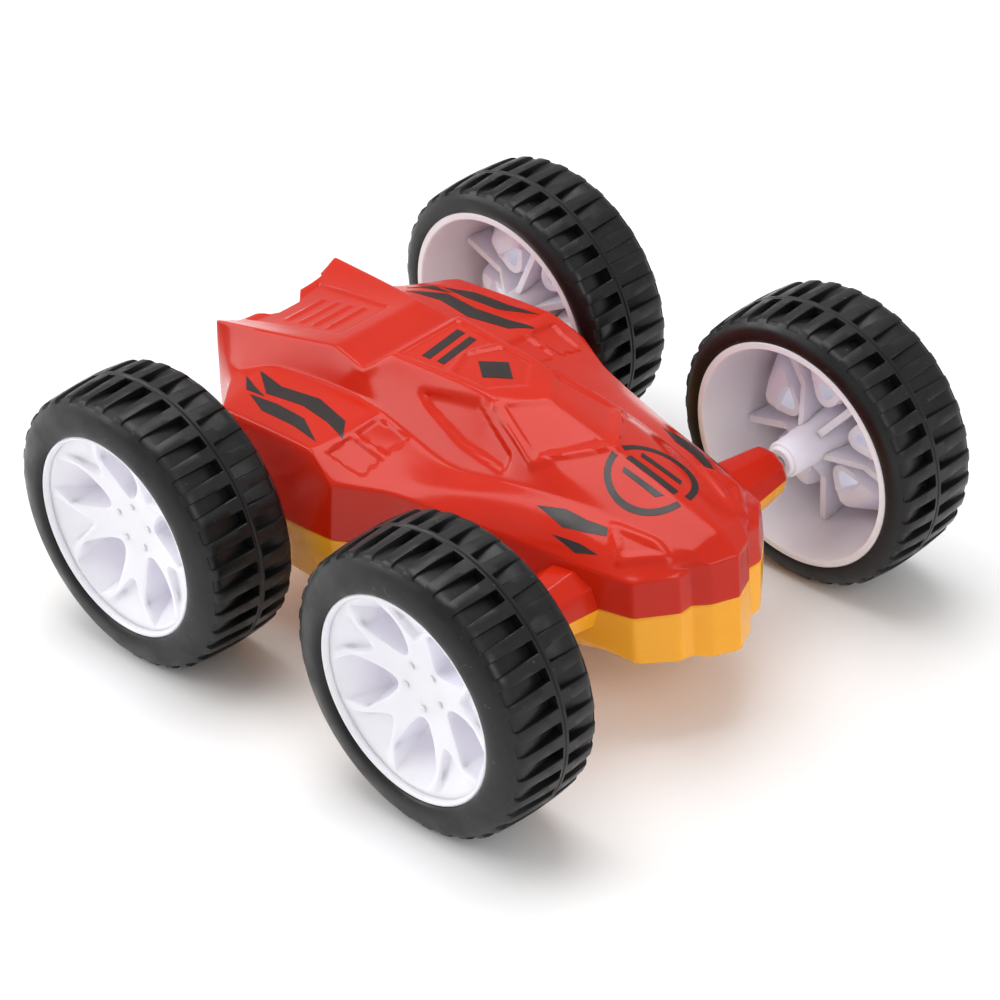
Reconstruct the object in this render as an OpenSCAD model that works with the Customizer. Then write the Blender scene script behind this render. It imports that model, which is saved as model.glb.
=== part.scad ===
// Double-sided friction stunt car.
// +X is the nose, +Y the left side, +Z up. The origin is on the ground, midway between the axles.

/* [Wheels] */
// Radius of a tyre over its tread
tyre_r = 25; // [24:0.5:27]
// Distance between the two axles
wheelbase = 68; // [68:1:74]
// Distance from the middle of the car to a tyre's inner face
tyre_inner_y = 35.2; // [35:0.2:38]
// Width of a tyre
tyre_w = 18.8; // [18.4:0.2:20]
// Number of spokes in a wheel
spoke_count = 5; // [4:1:6]

/* [Axles] */
// Radius of the two steel axles
axle_r = 1; // [0.9:0.05:1.1]
// Radial running clearance of a shaft in its hole
running_gap = 0.06; // [0.03:0.01:0.1]
// Distance from the middle of the car to the tip of a front axle boss
boss_tip_y = 30.5; // [28:0.5:31]

/* [Body shells] */
// Wall thickness of the shells
wall = 1.5; // [1.2:0.1:1.7]
// Height of the upper shell's nose wall above the parting plane
upper_nose_wall = 6.5; // [5.5:0.5:7]
// Height of the lower shell's nose wall below the parting plane
lower_nose_wall = 8.9; // [6.5:0.1:9]

/* [Gear train] */
// Gear module, the pitch diameter over the tooth count
gear_module = 0.6; // [0.55:0.05:0.6]
// Teeth on the drive gear of the rear axle
drive_teeth = 32; // [30:1:32]
// Teeth on the large wheel of the compound gear
wheel_teeth = 28; // [26:1:28]
// Teeth on the two pinions
pinion_teeth = 10; // [10:1:12]
// Radius of the flywheel
flywheel_r = 9; // [7:0.5:9]

/* [Hidden] */
$fn = 96;
overlap = 0.5;                  // how far joined solids run into each other
reach = 70;                     // longer than half of the car, for cutting tools

// ---- Axle and gear places ----
axle_z = tyre_r;
front_x = wheelbase / 2;
rear_x = -wheelbase / 2;
first_centres = gear_module * (drive_teeth + pinion_teeth) / 2;
second_centres = gear_module * (wheel_teeth + pinion_teeth) / 2;
compound_x = rear_x + first_centres;
flywheel_x = compound_x + second_centres;

// ---- Body feature lines ----
// Half of the body is a skin stretched between six lines that run from the tail to the nose.
// Heights are above the parting plane. All lines have the same number of points.
centre_line = [[-51.4, 0, 13.4], [-41, 0, 15.9], [-35, 0, 17.2], [-25.5, 0, 19.4], [-18, 0, 18.2],
    [-14, 0, 21.5], [-4, 0, 21.5], [6, 0, 21.5], [15, 0, 20.5], [29, 0, 17.6], [40, 0, 14.6],
    [50.8, 0, 10.8], [54.8, 0, 7.8]];
edge_line = [[-51.4, 13.8, 16.5], [-41, 12.2, 17.6], [-35, 11.2, 18.3], [-25.5, 9.7, 19.4],
    [-18, 10.6, 18.2], [-14, 8, 21.5], [-4, 7, 21.5], [6, 6.4, 21.5], [9.5, 6.2, 20.6],
    [20.4, 10, 16.2], [36, 6.8, 14.2], [50.3, 2.4, 10.3], [53.8, 2.2, 7.7]];
base_line = [[-50.5, 14.8, 12.5], [-42, 17.8, 11.9], [-36, 15, 14], [-26, 13.4, 14.2],
    [-17.5, 12.4, 14], [-12, 13, 14], [-4, 14, 13.2], [6.2, 15.4, 11.5], [12, 14.4, 12.1],
    [23, 12.4, 13.4], [38, 9, 12.4], [50, 5.4, 9.5], [52.9, 4.4, 7.6]];
shoulder_line = [[-49.6, 15.7, 9], [-41.2, 19.6, 11.7], [-35.5, 21, 13], [-25, 20, 13.8],
    [-18, 20, 13.9], [-12, 20.5, 13.7], [-5, 21.5, 12], [4, 20.5, 10.9], [12, 19, 11.5],
    [26, 16, 12.2], [38, 14.6, 11], [48, 10.5, 8.4], [50.7, 6.6, 7.2]];
crease_line = [[-48.8, 16.5, 6], [-40.5, 21, 11.4], [-35, 27.5, 12], [-25, 27.8, 12.8],
    [-18, 27.9, 13.2], [-12.5, 28, 13.4], [-6.8, 29.4, 10.2], [2, 25, 10], [10, 22.9, 9.2],
    [26, 19.3, 8], [38, 17, 7.1], [46, 15, 6.5], [50.6, 9.2, 6.8]];
parting_line = [[-47.5, 17.5, 0], [-41, 22.5, 0], [-35, 30.8, 0], [-25, 31.3, 0],
    [-18, 31.5, 0], [-12.5, 31.5, 0], [-6, 30.9, 0], [2.6, 25.9, 0], [10, 23.8, 0],
    [26, 19.9, 0], [38, 17.4, 0], [46.2, 15.3, 0], [50.8, 9.4, 0]];
body_lines = [centre_line, edge_line, base_line, shoulder_line, crease_line, parting_line];
stations = len(centre_line);
tail_base = [-47.5, 0, 0];
nose_tip = [54.6, 0, 0];
line_nose_wall = 6.5;           // height of the nose wall in the lines above
line_span = [48, 22, 15];       // half length, half width and height that a wall is taken off
roof_z = 21.5;

// ---- Shell details ----
notch = [[-54, 10.4], [-50.3, 10.2], [-51.2, 5.3], [-48.2, 2.3], [-48.2, -2.3], [-51.2, -5.3],
    [-50.3, -10.2], [-54, -10.4]];
roof_panel = [[-12.5, 6.6], [-3, 5.6], [-5.4, 0], [-3, -5.6], [-12.5, -6.6]];
hexagon_panel = [[-4.4, 0], [-1.6, 5], [5, 4.8], [9.4, 0], [5, -4.8], [-1.6, -5]];
notch_floor_z = 11;
panel_depth = 0.4;
tail_wall_x = -46.6;            // front face of the solid tail wall behind the notch
boss_sides = 10;
boss_root_y = 14;
boss_root_r = 6.6;
boss_tip_r = 4.4;
cradle_y = 12;                  // middle of each cross wall that holds the front axle
cradle_w = 2;
cradle_length = 10;
screw_posts = [[22, 9], [22, -9], [-6, 24], [-6, -24]];
post_r = 2.3;
post_h = 25;
screw_hole_r = 1.15;
screw_core_r = 0.85;
screw_head_r = 2;
screw_head_h = 1.4;
screw_seat_z = 5.5;             // depth of a screw head's seat below the parting plane
screw_length = 11;

// ---- Gearbox ----
box_wall = 1.2;
box_half_h = 12;
box_inner_right = 7.9;
box_inner_left = 7;
box_back_x = rear_x - 12;
box_front_x = flywheel_x + flywheel_r + 2.2;
box_post_r = 1.7;
box_screw_r = 0.7;
box_screw_length = 8;
box_screw_head_r = 1.4;
box_screw_head_h = 1;
shaft_r = 0.75;

// ---- Gears, from the right to the left of the car ----
drive_y = -7;
drive_thickness = 3;
drive_hub_r = 2.6;
drive_hub_length = 7;
first_pinion_thickness = 4.2;
compound_wheel_y = -3.3;
wheel_thickness = 2.5;
compound_hub_r = 1.8;
compound_hub_length = 7;
second_pinion_thickness = 3.6;
flywheel_y = 0.4;
flywheel_thickness = 5.4;
tooth_backlash = 0.12;
pressure_angle = 25;

// ---- Wheels ----
rim_inner_r = 20.5;             // barrel radius at the inner face
rim_outer_r = 18.7;             // barrel radius behind the lip
lip_r = 18.1;
lip_h = 1;
barrel_wall = 1.3;
rim_h = tyre_w - 0.6;
hub_r = 3.2;
hub_reach = 2.4;                // how far a hub stands past the tyre's inner face
disc_z = 12.5;
disc_h = 3.2;
axle_half = tyre_inner_y + disc_z + 0.8;

// ---- Functions ----
function flip(p) = [p.x, -p.y, p.z];
// A closed ring of points across the body at station i, from the left parting line to the right.
function ring(lines, i) = concat(
    [for (k = [len(lines) - 1 : -1 : 0]) lines[k][i]],
    [for (k = [1 : len(lines) - 1]) flip(lines[k][i])]);
function raised(p, nose) = p.x > 44 && p.z > 0 && p.z < 8
    ? [p.x, p.y, p.z + nose - line_nose_wall] : p;
function shrunk(p, t) = [for (k = [0 : 2]) p[k] * (1 - t / line_span[k])];
// Involute tooth outline in polar form: half the tooth's angle at radius r.
function involute(a) = tan(a) - a * PI / 180;
function half_angle(r, pitch_r, base_r, teeth, backlash) =
    90 / teeth - backlash / pitch_r * 45 / PI
    + (involute(acos(base_r / pitch_r)) - involute(acos(min(1, base_r / r)))) * 180 / PI;
function polar(r, a) = [r * cos(a), r * sin(a)];

// ---- Body form ----
// A closed solid over one side of the parting plane. t takes it in by a wall thickness.
module body_form(nose, t) {
    n = 2 * len(body_lines) - 1;
    rings = [for (i = [0 : stations - 1]) [for (p = ring(body_lines, i)) shrunk(raised(p, nose), t)]];
    points = concat([for (r = rings, p = r) p], [shrunk(tail_base, t), shrunk(nose_tip, t)]);
    tail = n * stations;
    tip = tail + 1;
    skin = [for (i = [0 : stations - 2], k = [0 : n - 2], half = [0, 1])
        let (a = i * n + k, b = a + 1, c = a + n, d = c + 1, left = k < (n - 1) / 2)
        left ? (half == 0 ? [a, c, b] : [b, c, d]) : (half == 0 ? [a, d, b] : [a, c, d])];
    tail_cap = [for (k = [0 : n - 2]) [tail, k, k + 1]];
    nose_cap = [for (k = [0 : n - 2]) [tip, tip - n + k, tip - n - 1 + k]];
    middle = ceil(stations / 2);
    floor_left = [for (i = [0 : stations - 2]) [i < middle ? tail : tip, (i + 1) * n, i * n]];
    floor_right = [for (i = [0 : stations - 2])
        [i < middle ? tail : tip, i * n + n - 1, (i + 1) * n + n - 1]];
    bridge = [[tail, tip, middle * n], [tail, middle * n + n - 1, tip]];
    polyhedron(points, concat(skin, tail_cap, nose_cap, floor_left, floor_right, bridge), convexity = 8);
}

module front_boss() {
    for (side = [0, 1])
        mirror([0, side, 0])
            translate([front_x, boss_root_y, 0])
                rotate([-90, 0, 0])
                    rotate(180 / boss_sides)
                        cylinder(h = boss_tip_y - boss_root_y, r1 = boss_root_r, r2 = boss_tip_r,
                            $fn = boss_sides);
}

module upper_half_space() {
    translate([-reach, -reach, 0]) cube(2 * reach);
}

// Holes for both axles, through everything.
module axle_holes() {
    for (x = [front_x, rear_x])
        translate([x, -reach, 0])
            rotate([-90, 0, 0])
                cylinder(h = 2 * reach, r = axle_r + running_gap);
}

module panels() {
    translate([0, 0, roof_z - panel_depth]) linear_extrude(reach) polygon(roof_panel);
    translate([0, 0, roof_z - panel_depth]) linear_extrude(reach) polygon(hexagon_panel);
    translate([0, 0, notch_floor_z]) linear_extrude(reach) polygon(notch);
}

// Room for the gearbox, which is deeper than the cavity near the tail.
module gearbox_room() {
    translate([box_back_x - 0.2, -box_inner_right - box_wall - 0.2, -1])
        cube([box_front_x - box_back_x + 0.4, box_inner_right + box_inner_left + 2 * box_wall + 0.4,
            box_half_h + 1.2]);
}

module posts() {
    for (p = screw_posts)
        translate([p.x, p.y, 0])
            cylinder(h = post_h, r = post_r);
}

// One shell above the parting plane, with a solid post at each screw.
module half_shell(nose) {
    difference() {
        union() {
            difference() {
                union() {
                    body_form(nose, 0);
                    intersection() {
                        front_boss();
                        upper_half_space();
                    }
                }
                translate([0, 0, -0.01])
                    intersection() {
                        body_form(nose, wall);
                        translate([tail_wall_x, -reach, 0]) cube(2 * reach);
                    }
                panels();
            }
            intersection() {
                body_form(nose, 0);
                union() {
                    posts();
                    front_cradle();
                }
            }
        }
        gearbox_room();
        axle_holes();
    }
}

// Cross walls that the front axle runs through, behind each boss.
module front_cradle() {
    for (side = [-1, 1])
        translate([front_x - cradle_length / 2, side * cradle_y - cradle_w / 2, 0])
            cube([cradle_length, cradle_w, post_h]);
}

module upper_shell() {
    color("#d83c24")
        translate([0, 0, axle_z])
            difference() {
                half_shell(upper_nose_wall);
                for (p = screw_posts)
                    translate([p.x, p.y, -1])
                        cylinder(h = screw_length - screw_seat_z + 2, r = screw_core_r);
            }
}

module lower_shell() {
    color("#f5af28")
        translate([0, 0, axle_z])
            mirror([0, 0, 1])
                difference() {
                    half_shell(lower_nose_wall);
                    for (p = screw_posts)
                        translate([p.x, p.y, -1])
                            cylinder(h = post_h + 2, r = screw_hole_r);
                    for (p = screw_posts)
                        translate([p.x, p.y, screw_seat_z])
                            cylinder(h = post_h, r = screw_head_r + 0.2);
                }
}

module screw(length, core_r, head_r, head_h) {
    difference() {
        union() {
            cylinder(h = head_h, r = head_r);
            translate([0, 0, head_h - overlap]) cylinder(h = length + overlap, r = core_r);
        }
        for (turn = [0, 90])
            rotate(turn)
                translate([-head_r * 0.6, -0.2, -0.1])
                    cube([head_r * 1.2, 0.4, 0.7]);
    }
}

module shell_screws() {
    color("#b8bcc0")
        for (p = screw_posts)
            translate([p.x, -p.y, axle_z - screw_seat_z - screw_head_h])
                screw(screw_length, screw_core_r, screw_head_r, screw_head_h);
}

// ---- Wheels ----
// A wheel is drawn with its axis up, its inner face at z = 0, and then laid on its side.
module place_wheel(x, side) {
    translate([x, 0, axle_z])
        mirror([0, side < 0 ? 1 : 0, 0])
            translate([0, tyre_inner_y, 0])
                rotate([-90, 0, 0])
                    children();
}

// One pocket between two spokes: narrow at the hub, widest at two thirds, pointed at the rim.
module pocket() {
    polygon([[6.2, 0], [8.2, -2], [13.4, -4.4], [16.2, -2.2], [16.2, 2.2], [13.4, 4.4], [8.2, 2]]);
}

module rim_solid() {
    difference() {
        union() {
            difference() {
                union() {
                    cylinder(h = rim_h - lip_h, r1 = rim_inner_r, r2 = rim_outer_r);
                    translate([0, 0, rim_h - lip_h - overlap]) cylinder(h = lip_h + overlap, r = lip_r);
                }
                translate([0, 0, -0.01])
                    cylinder(h = rim_h + 0.02, r1 = rim_inner_r - barrel_wall, r2 = lip_r - barrel_wall);
            }
            difference() {
                translate([0, 0, disc_z]) cylinder(h = disc_h, r = rim_outer_r - 0.6);
                for (i = [0 : spoke_count - 1])
                    rotate(i * 360 / spoke_count)
                        translate([0, 0, disc_z - 1])
                            linear_extrude(disc_h + 2) pocket();
            }
            translate([0, 0, -hub_reach]) cylinder(h = disc_z + hub_reach + overlap, r = hub_r);
        }
        translate([0, 0, -hub_reach - 1]) cylinder(h = hub_reach + disc_z + 1.8, r = axle_r);
    }
}

// Tyre section in radius and height: the bore follows the rim, the outer shoulder is round.
module tyre_solid() {
    gap = 0.02;
    shoulder_r = 3.6;
    inner_ring_r = rim_inner_r + 1.2;
    rotate_extrude()
        polygon(concat(
            [[rim_inner_r + gap, 0], [inner_ring_r, 0], [tyre_r - 0.9, 1.6], [tyre_r, 3.4]],
            [for (a = [0 : 15 : 90])
                [tyre_r - shoulder_r + shoulder_r * cos(a), tyre_w - shoulder_r + shoulder_r * sin(a)]],
            [[lip_r + 1, tyre_w], [lip_r + gap, tyre_w - 0.7], [lip_r + gap, rim_h - lip_h + gap],
                [rim_outer_r + gap, rim_h - lip_h + gap]]));
}

module rim(x, side) {
    color("#eceaf6") place_wheel(x, side) rim_solid();
}

module tyre(x, side) {
    color("#26272a") place_wheel(x, side) tyre_solid();
}

module axle(x) {
    color("#b8bcc0")
        translate([x, -axle_half, axle_z])
            rotate([-90, 0, 0])
                cylinder(h = 2 * axle_half, r = axle_r);
}

// ---- Gears ----
// Spur gear outline with stub teeth, one tooth centred on +X before it is turned.
module gear_outline(teeth) {
    pitch_r = gear_module * teeth / 2;
    base_r = pitch_r * cos(pressure_angle);
    tip_r = pitch_r + 0.8 * gear_module;
    root_r = pitch_r - gear_module;
    flank_start = max(root_r + 0.05, base_r);
    flank = [for (s = [0 : 3]) flank_start + (tip_r - flank_start) * s / 3];
    polygon([for (i = [0 : teeth - 1]) let (mid = i * 360 / teeth)
        each concat(
            [polar(root_r, mid - half_angle(flank_start, pitch_r, base_r, teeth, tooth_backlash))],
            [for (r = flank) polar(r, mid - half_angle(r, pitch_r, base_r, teeth, tooth_backlash))],
            [for (s = [3 : -1 : 0]) polar(flank[s],
                mid + half_angle(flank[s], pitch_r, base_r, teeth, tooth_backlash))],
            [polar(root_r, mid + half_angle(flank_start, pitch_r, base_r, teeth, tooth_backlash))])]);
}

// A gear on a cross shaft at x, from side y over a thickness, turned by a phase angle.
module spur(x, y, thickness, teeth, phase, bore_r) {
    translate([x, y + thickness, axle_z])
        rotate([90, 0, 0])
            difference() {
                rotate(phase) linear_extrude(thickness) gear_outline(teeth);
                translate([0, 0, -1]) cylinder(h = thickness + 2, r = bore_r);
            }
}

// A pinion turned so that a gap faces the wheel behind it.
pinion_phase = 180 + 180 / pinion_teeth;

module tube_across(x, y, length, outer_r, bore_r) {
    translate([x, y, axle_z])
        rotate([-90, 0, 0])
            difference() {
                cylinder(h = length, r = outer_r);
                translate([0, 0, -1]) cylinder(h = length + 2, r = bore_r);
            }
}

module drive_gear() {
    color("#f2f2ee") {
        spur(rear_x, drive_y, drive_thickness, drive_teeth, 0, axle_r);
        tube_across(rear_x, drive_y + drive_thickness - overlap, drive_hub_length, drive_hub_r, axle_r);
    }
}

module compound_gear() {
    color("#e9e4d2") {
        spur(compound_x, drive_y - 0.3, first_pinion_thickness, pinion_teeth, pinion_phase, shaft_r);
        spur(compound_x, compound_wheel_y, wheel_thickness, wheel_teeth, 0, shaft_r);
        tube_across(compound_x, compound_wheel_y + wheel_thickness - overlap, compound_hub_length,
            compound_hub_r, shaft_r);
    }
}

module flywheel_pinion() {
    color("#d8b25a")
        spur(flywheel_x, compound_wheel_y - 0.4, second_pinion_thickness, pinion_teeth, pinion_phase,
            shaft_r);
}

module flywheel() {
    color("#8f9499")
        tube_across(flywheel_x, flywheel_y, flywheel_thickness, flywheel_r, shaft_r);
}

module cross_shaft(x) {
    color("#c4c8cc")
        translate([x, -box_inner_right - box_wall, axle_z])
            rotate([-90, 0, 0])
                cylinder(h = box_inner_right + box_inner_left + 2 * box_wall, r = shaft_r);
}

// ---- Gearbox ----
box_corners = [for (x = [box_back_x + box_post_r, box_front_x - box_post_r],
    z = [-box_half_h + box_post_r, box_half_h - box_post_r]) [x, z]];

module cross_hole(x, z, r) {
    translate([x, -reach, z])
        rotate([-90, 0, 0])
            cylinder(h = 2 * reach, r = r);
}

module box_holes() {
    cross_hole(rear_x, axle_z, axle_r + running_gap);
    for (x = [compound_x, flywheel_x])
        cross_hole(x, axle_z, shaft_r + running_gap);
    for (c = box_corners)
        cross_hole(c.x, axle_z + c.y, box_screw_r);
}

// The right half is a tray with a wall all round and a post in each corner.
module gearbox_right() {
    depth = box_inner_right + box_inner_left + box_wall;
    length = box_front_x - box_back_x;
    color("#3a3d42")
        difference() {
            union() {
                translate([box_back_x, -box_inner_right - box_wall, axle_z - box_half_h])
                    difference() {
                        cube([length, depth, 2 * box_half_h]);
                        translate([box_wall, box_wall, box_wall])
                            cube([length - 2 * box_wall, depth, 2 * box_half_h - 2 * box_wall]);
                    }
                for (c = box_corners)
                    translate([c.x, -box_inner_right - overlap, axle_z + c.y])
                        rotate([-90, 0, 0])
                            cylinder(h = depth - box_wall + overlap, r = box_post_r);
            }
            box_holes();
        }
}

module gearbox_left() {
    color("#4a4e55")
        difference() {
            translate([box_back_x, box_inner_left, axle_z - box_half_h])
                cube([box_front_x - box_back_x, box_wall, 2 * box_half_h]);
            box_holes();
        }
}

module gearbox_screws() {
    color("#b8bcc0")
        for (c = box_corners)
            translate([c.x, box_inner_left + box_wall + box_screw_head_h, axle_z + c.y])
                rotate([90, 0, 0])
                    screw(box_screw_length, box_screw_r, box_screw_head_r, box_screw_head_h);
}

upper_shell();
lower_shell();
shell_screws();
gearbox_left();
gearbox_right();
gearbox_screws();
axle(front_x);  // front_axle
rim(front_x, 1);  // front_left_rim
rim(front_x, -1);  // front_right_rim
tyre(front_x, 1);  // front_left_tyre
tyre(front_x, -1);  // front_right_tyre
axle(rear_x);  // rear_axle
rim(rear_x, 1);  // rear_left_rim
rim(rear_x, -1);  // rear_right_rim
tyre(rear_x, 1);  // rear_left_tyre
tyre(rear_x, -1);  // rear_right_tyre
drive_gear();
compound_gear();
cross_shaft(compound_x);  // compound_shaft
flywheel();
flywheel_pinion();
cross_shaft(flywheel_x);  // flywheel_shaft
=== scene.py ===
"""Double-sided friction stunt car: the looks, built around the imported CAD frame.

Lengths in the tables below are millimetres, with x forward from the middle between the axles, y to the left
and z above the parting plane, which is also the plane of both axles. Meshes are made in metres.
"""

import math

import bmesh
import bpy
import numpy as np
from mathutils import Matrix, Vector
from mathutils.bvhtree import BVHTree
from mathutils.geometry import delaunay_2d_cdt


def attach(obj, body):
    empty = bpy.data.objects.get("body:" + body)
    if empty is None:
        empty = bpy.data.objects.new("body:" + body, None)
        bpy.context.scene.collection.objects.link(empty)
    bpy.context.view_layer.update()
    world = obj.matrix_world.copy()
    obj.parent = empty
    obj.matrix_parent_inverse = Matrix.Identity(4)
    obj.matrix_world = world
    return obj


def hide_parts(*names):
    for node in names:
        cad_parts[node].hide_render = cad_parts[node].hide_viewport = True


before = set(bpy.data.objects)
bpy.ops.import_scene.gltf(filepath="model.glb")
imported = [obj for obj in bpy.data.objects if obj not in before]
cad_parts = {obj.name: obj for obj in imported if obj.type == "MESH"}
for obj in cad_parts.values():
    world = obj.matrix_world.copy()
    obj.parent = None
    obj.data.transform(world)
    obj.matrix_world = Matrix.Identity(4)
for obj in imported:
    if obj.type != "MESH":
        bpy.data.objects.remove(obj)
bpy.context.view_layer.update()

MM = 0.001
AXLE_Z = 25.0
FRONT_X = 34.0
REAR_X = -34.0
TYRE_INNER_Y = 35.2

# ---- Body feature lines, the same as in the CAD source ----
CENTRE = [(-51.4, 0, 13.4), (-41, 0, 15.9), (-35, 0, 17.2), (-25.5, 0, 19.4), (-18, 0, 18.2),
          (-14, 0, 21.5), (-4, 0, 21.5), (6, 0, 21.5), (15, 0, 20.5), (29, 0, 17.6), (40, 0, 14.6),
          (50.8, 0, 10.8), (54.8, 0, 7.8)]
MIDDLE = [(-51.4, 8.4, 13.6), (-41, 7.4, 16), (-35, 6.6, 17.2), (-25.5, 5.4, 19.4), (-18, 5.6, 18.2),
          (-14, 4, 21.5), (-4, 3.6, 21.5), (6, 3.2, 21.5), (12.4, 3.1, 20.6), (24.7, 5, 17),
          (38.4, 3.4, 14.6), (50.6, 1.2, 10.6), (54.3, 1.1, 7.8)]
EDGE = [(-51.4, 13.8, 16.5), (-41, 12.2, 17.6), (-35, 11.2, 18.3), (-25.5, 9.7, 19.4),
        (-18, 10.6, 18.2), (-14, 8, 21.5), (-4, 7, 21.5), (6, 6.4, 21.5), (9.5, 6.2, 20.6),
        (20.4, 10, 16.2), (36, 6.8, 14.2), (50.3, 2.4, 10.3), (53.8, 2.2, 7.7)]
BASE = [(-50.5, 14.8, 12.5), (-42, 17.8, 11.9), (-36, 15, 14), (-26, 13.4, 14.2), (-17.5, 12.4, 14),
        (-12, 13, 14), (-4, 14, 13.2), (6.2, 15.4, 11.5), (12, 14.4, 12.1), (23, 12.4, 13.4),
        (38, 9, 12.4), (50, 5.4, 9.5), (52.9, 4.4, 7.6)]
SHOULDER = [(-49.6, 15.7, 9), (-41.2, 19.6, 11.7), (-35.5, 21, 13), (-25, 20, 13.8),
            (-18, 20, 13.9), (-12, 20.5, 13.7), (-5, 21.5, 12), (4, 20.5, 10.9), (12, 19, 11.5),
            (26, 16, 12.2), (38, 14.6, 11), (48, 10.5, 8.4), (50.7, 6.6, 7.2)]
CREASE = [(-48.8, 16.5, 6), (-40.5, 21, 11.4), (-35, 27.5, 12), (-25, 27.8, 12.8), (-18, 27.9, 13.2),
          (-12.5, 28, 13.4), (-6.8, 29.4, 10.2), (2, 25, 10), (10, 22.9, 9.2), (26, 19.3, 8),
          (38, 17, 7.1), (46, 15, 6.5), (50.6, 9.2, 6.8)]
PARTING = [(-47.5, 17.5, 0), (-41, 22.5, 0), (-35, 30.8, 0), (-25, 31.3, 0), (-18, 31.5, 0),
           (-12.5, 31.5, 0), (-6, 30.9, 0), (2.6, 25.9, 0), (10, 23.8, 0), (26, 19.9, 0),
           (38, 17.4, 0), (46.2, 15.3, 0), (50.8, 9.4, 0)]
LINE_NOSE_WALL = 6.5   # height of the nose wall in the lines above
UPPER_NOSE_WALL = 6.5
LOWER_NOSE_WALL = 8.9
SEAM_CHAMFER = 0.35
SEAM_INSET = 0.22
SEAM_SHARE = 0.997
NOSE_WALL_BACK = 44    # the nose wall's top points are forward of this and below the next height
NOSE_WALL_TOP = 8


# ---- Mesh helpers ----
def link(obj):
    bpy.context.scene.collection.objects.link(obj)
    return obj


def remove(obj):
    mesh = obj.data
    bpy.data.objects.remove(obj)
    bpy.data.meshes.remove(mesh)


def mesh_object(name, points, faces, material, sharp=35):
    """An object from points in millimetres above the ground, smooth but for edges over the sharp angle."""
    mesh = bpy.data.meshes.new(name)
    mesh.from_pydata([tuple(c * MM for c in p) for p in points], [], [tuple(f) for f in faces])
    mesh.validate()
    obj = link(bpy.data.objects.new(name, mesh))
    tidy_normals(mesh)
    smooth_by_angle(mesh, sharp)
    if material:
        mesh.materials.append(material)
    return obj


def tidy_normals(mesh):
    bm = bmesh.new()
    bm.from_mesh(mesh)
    bmesh.ops.recalc_face_normals(bm, faces=bm.faces)
    bm.to_mesh(mesh)
    bm.free()


def face_outwards(mesh):
    """Turns an open skin over if its normals point down the local z axis on the whole."""
    bm = bmesh.new()
    bm.from_mesh(mesh)
    if sum(f.normal.z for f in bm.faces) < 0:
        bmesh.ops.reverse_faces(bm, faces=bm.faces)
    bm.to_mesh(mesh)
    bm.free()


def smooth_by_angle(mesh, degrees):
    bm = bmesh.new()
    bm.from_mesh(mesh)
    limit = math.radians(degrees)
    for f in bm.faces:
        f.smooth = True
    for e in bm.edges:
        e.smooth = len(e.link_faces) == 2 and e.calc_face_angle(0) < limit
    bm.to_mesh(mesh)
    bm.free()


def apply_modifiers(obj):
    depsgraph = bpy.context.evaluated_depsgraph_get()
    evaluated = obj.evaluated_get(depsgraph)
    mesh = bpy.data.meshes.new_from_object(evaluated, depsgraph=depsgraph)
    old = obj.data
    obj.modifiers.clear()
    obj.data = mesh
    bpy.data.meshes.remove(old)
    return obj


class Cage:
    """Points, faces and edge creases of a subdivision cage. Each point is made once, under its key."""

    def __init__(self):
        self.points = []
        self.index = {}
        self.faces = []
        self.creases = {}

    def point(self, key, place):
        if key not in self.index:
            self.index[key] = len(self.points)
            self.points.append(place)
        return self.index[key]

    def crease(self, a, b, value):
        edge = frozenset((a, b))
        self.creases[edge] = max(value, self.creases.get(edge, 0))

    def mesh(self):
        mesh = bpy.data.meshes.new("cage")
        mesh.from_pydata([tuple(p) for p in self.points], [], [tuple(f) for f in self.faces])
        bm = bmesh.new()
        bm.from_mesh(mesh)
        bmesh.ops.recalc_face_normals(bm, faces=bm.faces)
        layer = bm.edges.layers.float.new("crease_edge")
        for e in bm.edges:
            e[layer] = self.creases.get(frozenset(v.index for v in e.verts), 0)
        bm.to_mesh(mesh)
        bm.free()
        return mesh

    def subdivided(self, levels):
        """The cage's Catmull-Clark surface: an array of points, and faces."""
        obj = link(bpy.data.objects.new("cage", self.mesh()))
        modifier = obj.modifiers.new("subdivide", "SUBSURF")
        modifier.levels = levels
        modifier.render_levels = levels
        apply_modifiers(obj)
        places = np.zeros(len(obj.data.vertices) * 3)
        obj.data.vertices.foreach_get("co", places)
        faces = [tuple(f.vertices) for f in obj.data.polygons]
        remove(obj)
        return places.reshape(-1, 3), faces


def point_normals(points, faces):
    """Normals at the points of a surface of triangles and quads, pointing up at its highest point."""
    total = np.zeros_like(points)
    for size in (3, 4):
        ring = np.array([f for f in faces if len(f) == size], int).reshape(-1, size)
        if not len(ring):
            continue
        a, b, c, d = (points[ring[:, k]] for k in (0, 1, 2, size - 1))
        normal = np.cross(c - a, d - b) if size == 4 else np.cross(b - a, c - a)
        for k in range(size):
            np.add.at(total, ring[:, k], normal)
    normals = total / np.maximum(np.linalg.norm(total, axis=1, keepdims=True), 1e-12)
    return normals if normals[np.argmax(points[:, 2])][2] > 0 else -normals


def turn(steps):
    return [2 * math.pi * k / steps for k in range(steps)]


def lathe(profile, steps):
    """Points and faces of a ring swept about the local z axis from a closed profile of (radius, height)."""
    points, faces = [], []
    count = len(profile)
    for a in turn(steps):
        points += [(r * math.cos(a), r * math.sin(a), h) for r, h in profile]
    for s in range(steps):
        here, there = s * count, (s + 1) % steps * count
        for k in range(count):
            n = (k + 1) % count
            faces.append((here + k, here + n, there + n, there + k))
    return points, faces


def bridged(count):
    """Faces of a solid between two rings of count points, given one ring after the other."""
    sides = [(k, (k + 1) % count, count + (k + 1) % count, count + k) for k in range(count)]
    return [tuple(range(count))[::-1], tuple(range(count, 2 * count))] + sides


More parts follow.
